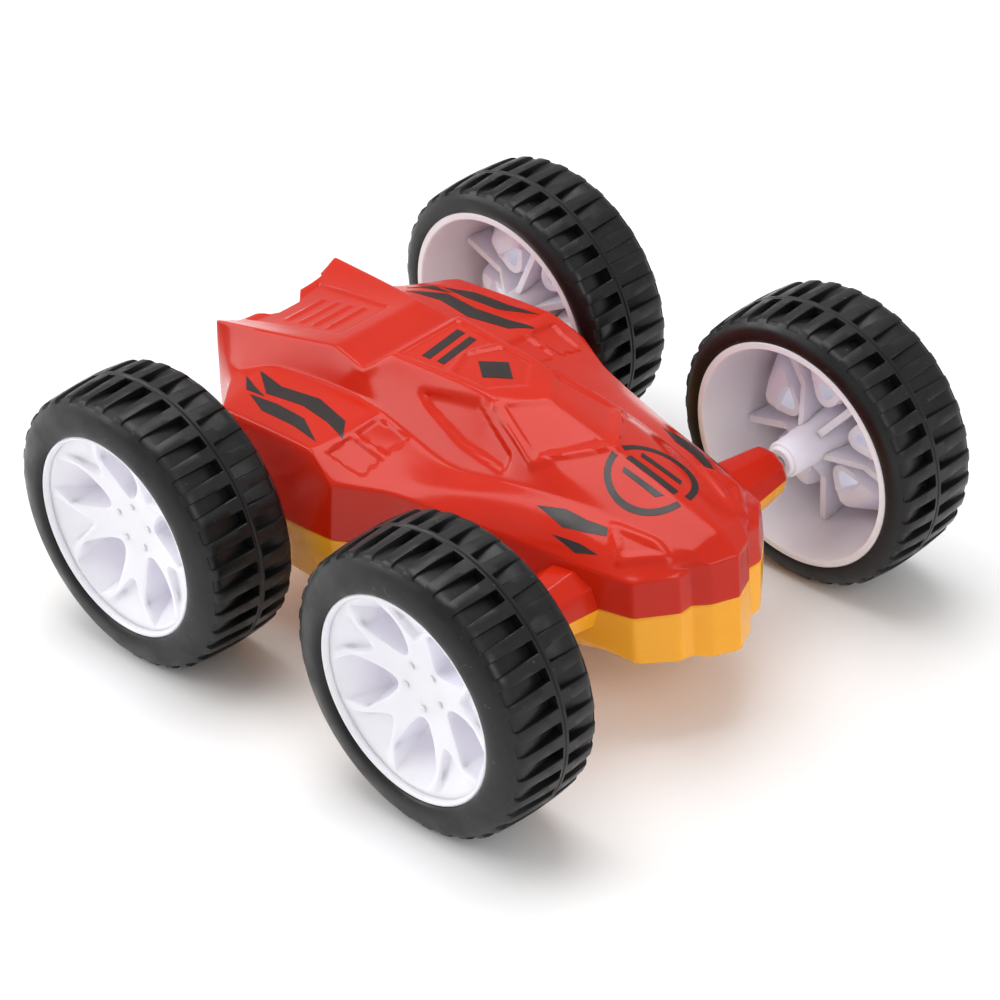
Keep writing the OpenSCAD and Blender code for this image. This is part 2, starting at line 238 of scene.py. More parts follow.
def cut(obj, cutters):
    """Takes each closed cutter away from a closed mesh."""
    for cutter in cutters:
        modifier = obj.modifiers.new("cut", "BOOLEAN")
        modifier.operation = "DIFFERENCE"
        modifier.object = cutter
        modifier.solver = "MANIFOLD"
    apply_modifiers(obj)
    for cutter in cutters:
        remove(cutter)
    return obj


def joined(objects, name):
    """One mesh from several objects, in the last one's material."""
    bm = bmesh.new()
    for o in objects:
        bm.from_mesh(o.data)
    material = objects[-1].data.materials[0]
    mesh = bpy.data.meshes.new(name)
    bm.to_mesh(mesh)
    bm.free()
    for o in objects:
        remove(o)
    mesh.materials.append(material)
    return link(bpy.data.objects.new(name, mesh))


# ---- Plane geometry for surface details ----
def segment_distance(p, a, b):
    a, b = np.array(a, float), np.array(b, float)
    d = b - a
    t = np.clip(((p - a) @ d) / (d @ d), 0, 1)
    return np.linalg.norm(p - a - t[:, None] * d, axis=1)


def polygon_distance(p, polygon):
    """Distance from each point to a polygon's outline, negative inside."""
    pairs = list(zip(polygon, polygon[1:] + polygon[:1]))
    distance = np.min([segment_distance(p, a, b) for a, b in pairs], axis=0)
    inside = np.zeros(len(p), bool)
    for (ax, ay), (bx, by) in pairs:
        if ay == by:
            continue
        crosses = ((p[:, 1] < ay) != (p[:, 1] < by)) & (
            p[:, 0] < (bx - ax) * (p[:, 1] - ay) / (by - ay) + ax)
        inside ^= crosses
    return np.where(inside, -distance, distance)


def line_distance(p, line):
    """Distance from each point to an open line of segments."""
    return np.min([segment_distance(p, a, b) for a, b in zip(line, line[1:])], axis=0)


def smooth(t):
    """Eases from 0 to 1 as t does, and holds beyond."""
    t = np.clip(t, 0, 1)
    return t * t * (3 - 2 * t)


def recess(p, polygon, depth, slope=0.6):
    """A flat sunk area whose wall is as wide as slope."""
    return -depth * smooth(0.5 - polygon_distance(p, polygon) / slope)


def rib(p, line, height, width):
    """A rounded raised line that reaches width to each side."""
    return height * smooth(1 - line_distance(p, line) / width)


# ---- Materials ----
# Sockets of a mix node that mixes colours.
MIX_FACTOR, MIX_FIRST, MIX_SECOND, MIX_RESULT = 0, 6, 7, 2


def new_material(name):
    material = bpy.data.materials.new(name)
    material.use_nodes = True
    nodes = material.node_tree.nodes
    return material, nodes, material.node_tree.links, nodes["Principled BSDF"]


def new_noise(nodes, scale, detail):
    noise = nodes.new("ShaderNodeTexNoise")
    noise.inputs["Scale"].default_value = scale
    noise.inputs["Detail"].default_value = detail
    return noise


def new_ramp(nodes, low, low_colour, high, high_colour):
    ramp = nodes.new("ShaderNodeValToRGB")
    first, second = ramp.color_ramp.elements
    first.position = low
    first.color = (*low_colour, 1)
    second.position = high
    second.color = (*high_colour, 1)
    return ramp


def colour_noise(nodes, links, dark, light, scale, detail=3.0):
    """A colour that wanders between two shades with object-space noise."""
    place = nodes.new("ShaderNodeTexCoord")
    noise = new_noise(nodes, scale, detail)
    ramp = new_ramp(nodes, 0.3, dark, 0.7, light)
    links.new(place.outputs["Object"], noise.inputs["Vector"])
    links.new(noise.outputs["Fac"], ramp.inputs["Fac"])
    return place, ramp


def add_bump(nodes, links, shader, height, strength, distance):
    bump = nodes.new("ShaderNodeBump")
    bump.inputs["Strength"].default_value = strength
    bump.inputs["Distance"].default_value = distance
    links.new(height, bump.inputs["Height"])
    links.new(bump.outputs["Normal"], shader.inputs["Normal"])


def add_grain(nodes, links, shader, place, scale, strength, distance):
    """Fine bumps all over the surface."""
    noise = new_noise(nodes, scale, 4.0)
    links.new(place.outputs["Object"], noise.inputs["Vector"])
    add_bump(nodes, links, shader, noise.outputs["Fac"], strength, distance)


def add_roughness(nodes, links, shader, place, scale, low, high):
    """Roughness that wanders between low and high."""
    noise = new_noise(nodes, scale, 6)
    spread = nodes.new("ShaderNodeMapRange")
    spread.inputs["From Min"].default_value = 0.35
    spread.inputs["From Max"].default_value = 0.65
    spread.inputs["To Min"].default_value = low
    spread.inputs["To Max"].default_value = high
    links.new(place.outputs["Object"], noise.inputs["Vector"])
    links.new(noise.outputs["Fac"], spread.inputs["Value"])
    links.new(spread.outputs["Result"], shader.inputs["Roughness"])


def moulded_plastic(name, dark, light, roughness, glow=0.0, glow_radius=(1, 1, 1), gloss=0.5):
    """Injection-moulded plastic: faint flow marks in its colour, a slight orange peel, uneven gloss."""
    material, nodes, links, shader = new_material(name)
    place, ramp = colour_noise(nodes, links, dark, light, 45)
    links.new(ramp.outputs["Color"], shader.inputs["Base Color"])
    add_roughness(nodes, links, shader, place, 160, *roughness)
    add_grain(nodes, links, shader, place, 260, 0.12, 0.0002)
    shader.inputs["IOR"].default_value = 1.42
    shader.inputs["Specular IOR Level"].default_value = gloss
    shader.inputs["Subsurface Weight"].default_value = glow
    shader.inputs["Subsurface Radius"].default_value = glow_radius
    shader.inputs["Subsurface Scale"].default_value = 0.0025
    return material


def tyre_plastic():
    """Soft black vinyl: satin, with specks of dust and fine moulding grain."""
    material, nodes, links, shader = new_material("tyre_vinyl")
    place, ramp = colour_noise(nodes, links, (0.003, 0.003, 0.0035), (0.007, 0.007, 0.0075), 120, 8)
    specks = new_noise(nodes, 900, 2)
    dust = new_ramp(nodes, 0.70, (0, 0, 0), 0.80, (0.5, 0.5, 0.5))
    mix = nodes.new("ShaderNodeMix")
    mix.data_type = "RGBA"
    mix.inputs[MIX_SECOND].default_value = (0.10, 0.10, 0.095, 1)
    links.new(place.outputs["Object"], specks.inputs["Vector"])
    links.new(specks.outputs["Fac"], dust.inputs["Fac"])
    links.new(dust.outputs["Color"], mix.inputs[MIX_FACTOR])
    links.new(ramp.outputs["Color"], mix.inputs[MIX_FIRST])
    links.new(mix.outputs[MIX_RESULT], shader.inputs["Base Color"])
    add_roughness(nodes, links, shader, place, 220, 0.30, 0.48)
    add_grain(nodes, links, shader, place, 700, 0.25, 0.0001)
    shader.inputs["IOR"].default_value = 1.4
    return material


def metal(name, dark, light, low, high, stretch):
    """Drawn or turned metal: fine marks pulled out along the part by stretch."""
    material, nodes, links, shader = new_material(name)
    place, ramp = colour_noise(nodes, links, dark, light, 300, 6)
    links.new(ramp.outputs["Color"], shader.inputs["Base Color"])
    mapping = nodes.new("ShaderNodeMapping")
    mapping.inputs["Scale"].default_value = stretch
    marks = new_noise(nodes, 900, 2)
    spread = nodes.new("ShaderNodeMapRange")
    spread.inputs["To Min"].default_value = low
    spread.inputs["To Max"].default_value = high
    links.new(place.outputs["Object"], mapping.inputs["Vector"])
    links.new(mapping.outputs["Vector"], marks.inputs["Vector"])
    links.new(marks.outputs["Fac"], spread.inputs["Value"])
    links.new(spread.outputs["Result"], shader.inputs["Roughness"])
    add_bump(nodes, links, shader, marks.outputs["Fac"], 0.2, 0.0001)
    shader.inputs["Metallic"].default_value = 1
    return material


RED = moulded_plastic("red_shell_plastic", (0.49, 0.014, 0.003), (0.56, 0.019, 0.004), (0.14, 0.22),
                      0.12, (1.0, 0.12, 0.05), 0.34)
YELLOW = moulded_plastic("yellow_shell_plastic", (0.86, 0.35, 0.012), (0.93, 0.41, 0.016), (0.18, 0.28),
                         0.15, (1.0, 0.5, 0.1))
WHITE = moulded_plastic("white_wheel_plastic", (0.84, 0.82, 0.93), (0.90, 0.88, 0.97), (0.3, 0.42),
                        0.5, (0.8, 0.7, 1.0))
TYRE = tyre_plastic()
STEEL = metal("bright_steel", (0.5, 0.49, 0.47), (0.72, 0.71, 0.69), 0.18, 0.4, (1, 0.05, 1))
FLYWHEEL = metal("turned_steel", (0.32, 0.32, 0.33), (0.5, 0.5, 0.51), 0.3, 0.5, (1, 0.1, 1))
BRASS = metal("brass", (0.6, 0.4, 0.13), (0.78, 0.55, 0.2), 0.2, 0.4, (1, 0.1, 1))
GREY = moulded_plastic("gearbox_plastic", (0.045, 0.048, 0.055), (0.06, 0.064, 0.072), (0.35, 0.5))
NATURAL = moulded_plastic("gear_plastic", (0.74, 0.71, 0.62), (0.82, 0.79, 0.7), (0.35, 0.5), 0.2)
PRINT = moulded_plastic("black_print_ink", (0.012, 0.008, 0.008), (0.022, 0.014, 0.013), (0.25, 0.4))


# ---- Body shells ----
# The lines by number, from the middle of the top to the parting plane.
CENTRE_K, MIDDLE_K, EDGE_K, BASE_K, SHOULDER_K, CREASE_K, SEAM_K, PARTING_K = range(8)
# The stations along every line, from tail to nose.
TAIL, DECK_BACK, DECK_MID, DECK_FRONT, VALLEY, ROOF_BACK, ROOF_MID, ROOF_FRONT = range(8)
SCREEN_TOP, SCREEN_FOOT, HOOD, PLATE_TOP, LIP = range(8, 13)
STATIONS = LIP + 1
# Line, first station, last station and crease: how sharp an edge is along its line.
LINE_CREASES = [
    (EDGE_K, TAIL, DECK_FRONT, 0.62), (EDGE_K, DECK_FRONT, ROOF_BACK, 0.5),
    (EDGE_K, ROOF_BACK, SCREEN_TOP, 0.55), (EDGE_K, SCREEN_TOP, SCREEN_FOOT, 0.45),
    (EDGE_K, PLATE_TOP, LIP, 0.2), (BASE_K, TAIL, ROOF_BACK, 0.58),
    (BASE_K, ROOF_BACK, PLATE_TOP, 0.5), (BASE_K, PLATE_TOP, LIP, 0.6),
    (SHOULDER_K, TAIL, DECK_BACK, 0.3), (SHOULDER_K, PLATE_TOP, LIP, 0.6),
    (CREASE_K, TAIL, DECK_BACK, 0.5), (CREASE_K, DECK_BACK, ROOF_FRONT, 0.6),
    (CREASE_K, ROOF_FRONT, LIP, 0.62), (SEAM_K, TAIL, LIP, 0.6)]
# Station, first line, last line and crease: how sharp an edge is across the body.
CROSS_CREASES = [
    (TAIL, CENTRE_K, PARTING_K, 0.75), (DECK_BACK, BASE_K, PARTING_K, 0.5),
    (DECK_MID, BASE_K, CREASE_K, 0.4), (DECK_MID, CREASE_K, PARTING_K, 0.62),
    (DECK_FRONT, CENTRE_K, EDGE_K, 0.6), (VALLEY, CENTRE_K, BASE_K, 0.5),
    (ROOF_BACK, CENTRE_K, EDGE_K, 0.55), (ROOF_BACK, BASE_K, CREASE_K, 0.45),
    (ROOF_MID, CREASE_K, PARTING_K, 0.6), (ROOF_FRONT, CREASE_K, PARTING_K, 0.4),
    (SCREEN_TOP, CENTRE_K, EDGE_K, 0.55), (SCREEN_FOOT, CENTRE_K, EDGE_K, 0.4),
    (PLATE_TOP, CENTRE_K, BASE_K, 0.6), (PLATE_TOP, CREASE_K, PARTING_K, 0.65),
    (LIP, CENTRE_K, CREASE_K, 0.75), (LIP, CREASE_K, PARTING_K, 0.65)]
# Line and crease of each upright edge down the nose wall, and the crease round its foot.
NOSE_CREASES = [(SHOULDER_K, 0.7), (BASE_K, 0.35), (CENTRE_K, 0.5)]
NOSE_FOOT_CREASE = 0.6
NOSE_FOOT_INSET = 0.2


def body_lines(nose_wall):
    """The left half's lines, with the nose wall at its height and a chamfer at the parting plane."""
    def raised(x, y, z):
        on_wall_top = x > NOSE_WALL_BACK and 0 < z < NOSE_WALL_TOP
        return (x, y, z + nose_wall - LINE_NOSE_WALL) if on_wall_top else (x, y, z)

    shaped = [[raised(*p) for p in line] for line in (CENTRE, MIDDLE, EDGE, BASE, SHOULDER, CREASE)]
    seam = [(x, y, SEAM_CHAMFER) for x, y, z in PARTING]
    foot = [(x * SEAM_SHARE, y - SEAM_INSET, 0.0) for x, y, z in PARTING]
    return shaped + [seam, foot]


class ShellCage(Cage):
    """Cage of one shell above the parting plane, open underneath. A side is 1 for left and -1 for right."""

    def __init__(self, nose_wall):
        super().__init__()
        self.lines = body_lines(nose_wall)
        for side in (1, -1):
            self.add_side(side)
        self.add_tail_wall()
        for side in (1, -1):
            self.add_nose_wall(side)

    def at(self, side, k, i):
        """The point where line k crosses station i."""
        x, y, z = self.lines[k][i]
        return self.point((0 if k == CENTRE_K else side, k, i), (x, side * y, z))

    def add_side(self, side):
        for i in range(STATIONS - 1):
            for k in range(PARTING_K):
                quad = [self.at(side, k, i), self.at(side, k + 1, i), self.at(side, k + 1, i + 1),
                        self.at(side, k, i + 1)]
                self.faces.append(quad if side > 0 else quad[::-1])
        for k, first, last, value in LINE_CREASES:
            for i in range(first, last):
                self.crease(self.at(side, k, i), self.at(side, k, i + 1), value)
        for i, first, last, value in CROSS_CREASES:
            for k in range(first, last):
                self.crease(self.at(side, k, i), self.at(side, k + 1, i), value)

    def tail(self, k, column):
        """Tail wall point on line k. Columns 2 and -2 are the body's sides, and 0 is its middle."""
        side = 1 if column > 0 else -1
        if abs(column) == 2:
            return self.at(side, k, TAIL)
        if k == EDGE_K:
            return self.at(side, MIDDLE_K, TAIL) if column else self.at(1, CENTRE_K, TAIL)
        share = self.lines[MIDDLE_K][TAIL][1] / self.lines[EDGE_K][TAIL][1]
        x, y, z = self.lines[k][TAIL]
        return self.point(("tail", k, column), (x, column * share * y, z))

    def add_tail_wall(self):
        for k in range(EDGE_K, PARTING_K):
            for column in range(-2, 2):
                self.faces.append([self.tail(k, column), self.tail(k, column + 1),
                                   self.tail(k + 1, column + 1), self.tail(k + 1, column)])

    def nose(self, row, side, k):
        """Nose wall point below line k: row 0 is the lip, 1 the seam and 2 the parting plane."""
        if row == 0:
            return self.at(side, k, LIP)
        if k == CREASE_K:
            return self.at(side, SEAM_K if row == 1 else PARTING_K, LIP)
        x, y, z = self.lines[k][LIP]
        key = ("nose", row, 0 if k == CENTRE_K else side, k)
        if row == 1:
            return self.point(key, (x, side * y, SEAM_CHAMFER))
        return self.point(key, (x - NOSE_FOOT_INSET, side * y, 0.0))

    def add_nose_wall(self, side):
        for row in (0, 1):
            for k in range(CENTRE_K, CREASE_K):
                self.faces.append([self.nose(row, side, k), self.nose(row, side, k + 1),
                                   self.nose(row + 1, side, k + 1), self.nose(row + 1, side, k)])
            for k, value in NOSE_CREASES:
                self.crease(self.nose(row, side, k), self.nose(row + 1, side, k), value)
        for k in range(CENTRE_K, CREASE_K):
            self.crease(self.nose(1, side, k), self.nose(1, side, k + 1), NOSE_FOOT_CREASE)


# Plan outlines of the moulded details, on both halves or on the left one alone.
ROOF_PANEL = [(-13, 6.8), (-3.2, 5.7), (-5.4, 0), (-3.2, -5.7), (-13, -6.8)]
HEXAGON = [(-4.4, 0), (-1.7, 5.3), (5.3, 5.1), (9.3, 0), (5.3, -5.1), (-1.7, -5.3)]
SCREEN_FRAME = [(9.0, 6.7), (20.6, 10.2), (29.2, 0)]
SCREEN_PANE = [(10.3, 5.9), (15.5, 0), (27.0, 0), (20.0, 8.9)]
SIDE_WINDOW = [(-5.4, 9.6), (6.0, 7.6), (16.0, 10.7), (16.4, 12.6), (6.4, 12.3), (-2.6, 10.6)]
DECK_PANEL = [(-50.0, 8.0), (-29.2, 5.7), (-29.2, -5.7), (-50.0, -8.0)]
DECK_SLATS = [[(x, -3.9), (x, 3.9)] for x in (-33.5, -37.0, -40.5, -44.0)]
VENTS = [[(-10.6, 14.6), (-3.6, 15.0), (-3.6, 19.4), (-10.6, 19.6)],
         [(-10.6, 20.8), (-3.6, 20.8), (-3.6, 25.2), (-10.6, 26.0)]]
HEADLIGHT = [(38.2, 10.4), (42.4, 13.6), (47.4, 8.6), (44.9, 8.2)]


def shell_relief(p):
    """How far the surface stands out at each (x, |y|), in millimetres."""
    height = recess(p, ROOF_PANEL, 0.35) + recess(p, HEXAGON, 0.35)
    height += rib(p, SCREEN_FRAME, 0.45, 0.9) + recess(p, SCREEN_PANE, 0.3)
    height += recess(p, SIDE_WINDOW, 0.6, 1.0)
    height += recess(p, DECK_PANEL, 0.5, 0.7)
    for slat in DECK_SLATS:
        height += rib(p, slat, 0.35, 0.8)
    for vent in VENTS:
        height += recess(p, vent, 0.45, 0.5)
    outline = HEADLIGHT + HEADLIGHT[:1]
    height += rib(p, outline, 0.4, 1.2)
    return height


def shell_surface(nose_wall, levels):
    """The outside of a shell above the parting plane, with its moulded details."""
    points, faces = ShellCage(nose_wall).subdivided(levels)
    normals = point_normals(points, faces)
    plan = np.column_stack([points[:, 0], np.abs(points[:, 1])])
    upward = smooth((normals[:, 2] - 0.2) / 0.3)
    return points + normals * (shell_relief(plan) * upward)[:, None], faces


def closed_below(points, faces):
    """Adds the flat floor at the parting plane."""
    bm = bmesh.new()
    made = [bm.verts.new(p) for p in points]
    for f in faces:
        bm.faces.new([made[k] for k in f])
    edges = [e for e in bm.edges if len(e.link_faces) == 1]
    bmesh.ops.contextual_create(bm, geom=edges)
    bm.verts.index_update()
    result = [tuple(v.co) for v in bm.verts], [tuple(v.index for v in f.verts) for f in bm.faces]
    bm.free()
    return result


def placed(points, upper):
    """From above the parting plane to the row frame; the lower shell is turned over by mirroring."""
    return [(x, y, AXLE_Z + (z if upper else -z)) for x, y, z in points]


WALL = 1.5
TAIL_WALL_X = -46.6
NOTCH = [(-54, 10.4), (-50.3, 10.2), (-51.2, 5.3), (-48.2, 2.3), (-48.2, -2.3), (-51.2, -5.3),
         (-50.3, -10.2), (-54, -10.4)]
NOTCH_FLOOR = 11
POSTS = [(22, 9), (22, -9), (-6, 24), (-6, -24)]
POST_R = 2.3
THREAD_R = 0.85
THREAD_TOP = 6.5
SHANK_R = 1.15
SCREW_HEAD_R = 2.2
SCREW_SEAT = 5.5
CRADLE_Y = 12
CRADLE_HALF_LENGTH = 5
CRADLE_HALF = 1
BOX_ROOM = (-46.2, 1.4, -9.3, 8.4)
BOX_ROOM_TOP = 12.2
AXLE_HOLE_R = 1.06
ROUND_SIDES = 32
ABOVE = 30       # higher than any of the body
UNDER = -5       # under the cavity's own floor
BELOW = -1       # just past the parting plane
BEYOND = 60      # wider than the car


def prism(name, outline, low, high, upper):
    """Upright solid over a plan outline, between two heights above the parting plane."""
    points = [(x, y, z) for z in (low, high) for x, y in outline]
    return mesh_object(name, placed(points, upper), bridged(len(outline)), None)


def upright_cylinder(name, x, y, r, low, high, upper):
    outline = [(x + r * math.cos(a), y + r * math.sin(a)) for a in turn(ROUND_SIDES)]
    return prism(name, outline, low, high, upper)


def axle_hole(x):
    """Solid cylinder along y through the axle line at x."""
    ring = [(x + AXLE_HOLE_R * math.cos(a), AXLE_Z + AXLE_HOLE_R * math.sin(a)) for a in turn(ROUND_SIDES)]
    points = [(px, y, pz) for y in (-BEYOND, BEYOND) for px, pz in ring]
    return mesh_object("axle_hole", points, bridged(ROUND_SIDES), None)


def box_outline(x0, x1, y0, y1):
    return [(x0, y0), (x1, y0), (x1, y1), (x0, y1)]


def cradle(side, upper):
    """Cross wall behind a front boss, which the front axle runs through."""
    outline = box_outline(FRONT_X - CRADLE_HALF_LENGTH, FRONT_X + CRADLE_HALF_LENGTH,
                          side * CRADLE_Y - CRADLE_HALF, side * CRADLE_Y + CRADLE_HALF)
    return prism("cradle", outline, UNDER, ABOVE, upper)


def cavity(nose_wall, upper):
    """Room inside a shell, with the screw posts and the front axle's cross walls left standing."""
    points, faces = ShellCage(nose_wall).subdivided(2)
    points = points - point_normals(points, faces) * WALL
    points[:, 0] = np.maximum(points[:, 0], TAIL_WALL_X)
    points[points[:, 2] < 0.1, 2] = BELOW
    points, faces = closed_below(points, faces)
    room = mesh_object("cavity", placed(points, upper), faces, None)
    posts = [upright_cylinder("post", x, y, POST_R, UNDER, ABOVE, upper) for x, y in POSTS]
    return cut(room, posts + [cradle(side, upper) for side in (-1, 1)])


def screw_holes(upper):
    """Thread holes in the upper posts; shank holes and head recesses in the lower ones."""
    holes = []
    for x, y in POSTS:
        if upper:
            holes.append(upright_cylinder("thread", x, y, THREAD_R, BELOW, THREAD_TOP, upper))
        else:
            holes.append(upright_cylinder("shank", x, y, SHANK_R, BELOW, ABOVE, upper))
            holes.append(upright_cylinder("head", x, y, SCREW_HEAD_R, SCREW_SEAT, ABOVE, upper))
    return holes


# ---- Front axle bosses, moulded half on each shell ----
BOSS_SIDES = 10
BOSS_RINGS = [(14, 6.6), (29.5, 4.55), (30.5, 3.7)]
BORE_STEPS = 12


def half_circle(steps, r, y):
    """Points of a half circle above the parting plane, about the front axle line at y."""
    angles = [math.pi * k / steps for k in range(steps + 1)]
    return [(FRONT_X + r * math.cos(a), y, r * math.sin(a)) for a in angles]


def half_boss(side, upper, material):
    """A tapered half prism with a half-round bore. The corners come first, then the bore's two ends."""
    count, bore = BOSS_SIDES // 2 + 1, BORE_STEPS + 1
    last = len(BOSS_RINGS) - 1
    points, faces = [], []
    for y, r in BOSS_RINGS:
        points += half_circle(count - 1, r, side * y)
    first_bore = len(points)
    for y, r in (BOSS_RINGS[0], BOSS_RINGS[-1]):
        points += half_circle(BORE_STEPS, AXLE_HOLE_R, side * y)
    for a in [ring * count + k for ring in range(last) for k in range(count - 1)]:
        faces.append((a, a + 1, a + count + 1, a + count))
    for a in range(first_bore, first_bore + BORE_STEPS):
        faces.append((a, a + bore, a + bore + 1, a + 1))
    for ring, start in ((0, first_bore), (last, first_bore + bore)):
        outer = list(range(ring * count, ring * count + count))
        faces.append(tuple(outer + list(range(start, start + bore))[::-1]))
    for corner, column in ((0, 0), (count - 1, BORE_STEPS)):
        outer = [ring * count + corner for ring in range(last + 1)]
        faces.append(tuple(outer + [first_bore + bore + column, first_bore + column]))
    return rounded(mesh_object("boss", placed(points, upper), faces, material))


def rounded(obj):
    modifier = obj.modifiers.new("round", "BEVEL")
    modifier.width = 0.35 * MM
    modifier.segments = 3
    modifier.limit_method = "ANGLE"
    modifier.angle_limit = math.radians(20)
    return apply_modifiers(obj)


def make_shell(name, nose_wall, upper, material):
    """A hollow half of the body with its axle holes, screw posts, tail notch and front bosses."""
    points, faces = closed_below(*shell_surface(nose_wall, 4))
    shell = mesh_object(name, placed(points, upper), faces, material)
    cuts = [cavity(nose_wall, upper), prism("notch", NOTCH, NOTCH_FLOOR, ABOVE, upper),
            prism("gearbox_room", box_outline(*BOX_ROOM), BELOW, BOX_ROOM_TOP, upper),
            axle_hole(FRONT_X), axle_hole(REAR_X)]
    shell = cut(shell, cuts + screw_holes(upper))
    shell = joined([shell] + [half_boss(side, upper, material) for side in (-1, 1)], name)
    smooth_by_angle(shell.data, 32)
    return shell


for name, nose_wall, upper, material, node, finish in (
        ("upper_shell_moulding", UPPER_NOSE_WALL, True, RED, "upper_shell", "red_shell"),
        ("lower_shell_moulding", LOWER_NOSE_WALL, False, YELLOW, "lower_shell", "yellow_shell")):
    shell = make_shell(name, nose_wall, upper, material)
    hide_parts(node)
    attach(shell, "chassis")
    if upper:
        printed_surface = BVHTree.FromPolygons([v.co for v in shell.data.vertices],
                                               [f.vertices for f in shell.data.polygons])


# ---- Printed marks: plan outlines on the left half, mirrored where both sides carry them ----
ROOF_BARS = [[(-11.4, 4.9), (-9.6, 4.9), (-8.2, -4.6), (-10.0, -4.6)],
             [(-8.2, 4.6), (-6.6, 4.6), (-5.2, -4.3), (-6.8, -4.3)]]
ROOF_DIAMOND = [(-1.6, 0), (2.4, 3.0), (6.4, 0), (2.4, -3.0)]
POD_STRIPES = [
    [(-37, 16.9), (-30, 18.2), (-22, 17.0), (-14, 18.8), (-10.8, 22.4), (-16, 20.9), (-23, 20.0),
     (-31, 20.9)],
    [(-33.5, 22.4), (-27, 22.0), (-20, 22.4), (-13.5, 25.8), (-20, 24.8), (-28, 24.6)],
    [(-38.6, 18.6), (-34.5, 20.4), (-30.6, 21.6), (-35, 21.8)]]
HEADLIGHT_STRIPES = [
    [(25.5, 14.6), (30, 12.6), (34, 12.2), (37.6, 11.2), (38.4, 12.4), (35.5, 13.8), (31.5, 15.2)],
    [(30.5, 16.6), (35.5, 15.4), (39.0, 15.0), (35.5, 16.5)]]
RING_CENTRE = (36.5, 0)
RING_R = 7.4
RING_W = 1.1
RING_BARS = [[(-4.6, 2.9), (3.4, 3.4), (4.0, 2.4), (-4.0, 1.9)],
             [(-5.0, 0.7), (5.0, 0.9), (5.0, -0.3), (-5.0, -0.4)],
             [(-4.0, -1.9), (4.2, -1.6), (3.4, -2.8), (-3.6, -2.8)]]
PRINT_STEP = 0.7
PRINT_LIFT = 0.06
PRINT_SINK = 0.05


def ring_arc(start, stop):
    """Part of the nose ring about the origin, between two angles in degrees."""
    angles = [math.radians(start + (stop - start) * k / 24) for k in range(25)]
    outer, inner = ([(r * math.cos(a), r * math.sin(a)) for a in angles] for r in (RING_R, RING_R - RING_W))
    return outer + inner[::-1]


def mirrored(outlines):
    return outlines + [[(x, -y) for x, y in outline[::-1]] for outline in outlines]


def spaced(outline):
    """The outline with extra points so that no side is longer than the print step."""
    result = []
    for (ax, ay), (bx, by) in zip(outline, outline[1:] + outline[:1]):
        pieces = max(1, math.ceil(math.dist((ax, ay), (bx, by)) / PRINT_STEP))
        result += [(ax + (bx - ax) * k / pieces, ay + (by - ay) * k / pieces) for k in range(pieces)]
    return result


def grid_inside(outline):
    """Points a print step apart inside the outline, clear of its sides."""
    low, high = np.min(outline, axis=0), np.max(outline, axis=0)
    grid = np.array([(x, y) for x in np.arange(low[0], high[0], PRINT_STEP)
                     for y in np.arange(low[1], high[1], PRINT_STEP)]).reshape(-1, 2)
    return grid[polygon_distance(grid, list(outline)) < -0.3 * PRINT_STEP]


def drop_on_shell(spot):
    """Where a plan point meets the upper shell from above, and the normal there."""
    hit, normal, _, _ = printed_surface.ray_cast(Vector((spot.x * MM, spot.y * MM, 0.1)), Vector((0, 0, -1)))
    return hit / MM, normal


def ink_film(outline):
    """Thin closed film on the upper shell: a point above and one below the surface at each plan point."""
    border = spaced(outline)
    plan = [Vector(p) for p in border] + [Vector(p) for p in grid_inside(outline)]
    edges = [(k, (k + 1) % len(border)) for k in range(len(border))]
    spots, _, triangles = delaunay_2d_cdt(plan, edges, [], 1, 1e-5)[:3]
    points, faces = [], []
    for hit, normal in map(drop_on_shell, spots):
        points += [hit + normal * PRINT_LIFT, hit - normal * PRINT_SINK]
    for t in triangles:
        faces.append([2 * k for k in t])
        faces.append([2 * k + 1 for k in t[::-1]])
    sides = {(a, b) for t in triangles for a, b in zip(t, t[1:] + t[:1])}
    for a, b in sorted(sides):
        if (b, a) not in sides:
            faces.append([2 * a, 2 * a + 1, 2 * b + 1, 2 * b])
    return points, faces


def printed(name, outlines):
    """One piece from a film of ink for each outline."""
    points, faces = [], []
    for outline in outlines:
        film_points, film_faces = ink_film(outline)
        faces += [[len(points) + k for k in f] for f in film_faces]
        points += film_points
    film = mesh_object(name, points, faces, PRINT, 60)
    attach(film, "chassis")


def nose_ring():
    shapes = RING_BARS + [ring_arc(8, 172), ring_arc(188, 352)]
    return [[(x + RING_CENTRE[0], y + RING_CENTRE[1]) for x, y in shape] for shape in shapes]


printed("roof_marks", ROOF_BARS + [ROOF_DIAMOND])
printed("pod_stripes", mirrored(POD_STRIPES))
printed("headlight_stripes", mirrored(HEADLIGHT_STRIPES))
printed("nose_ring", nose_ring())


# ---- Tyres: w is measured from the tyre's inner face outwards ----
TYRE_R = 25.0
PITCHES = 34
PITCH = 2 * math.pi * TYRE_R / PITCHES
COLUMNS = 8               # points round one pitch
SEAM_W = 8.2
SEAM_HALF = 0.6
GROOVE_HALF = 0.22
GROOVE_DEPTH = 0.2
INNER_ROW_END = 1.1
OUTER_ROW_END = 17.15
CROWN = 0.5               # how much lower a lug's top is at its outer end
LUG_HALF = 1.2
LUG_TAPER = 0.25
LUG_EDGE = 0.14
LUG_EDGE_SHARE = 0.92
DRAFT = 0.12
SLOT_DEPTH = 1.9
SLOT_END_DEPTH = 0.45
LUG_END_ROUND = 0.35
STEP_R = 23.75
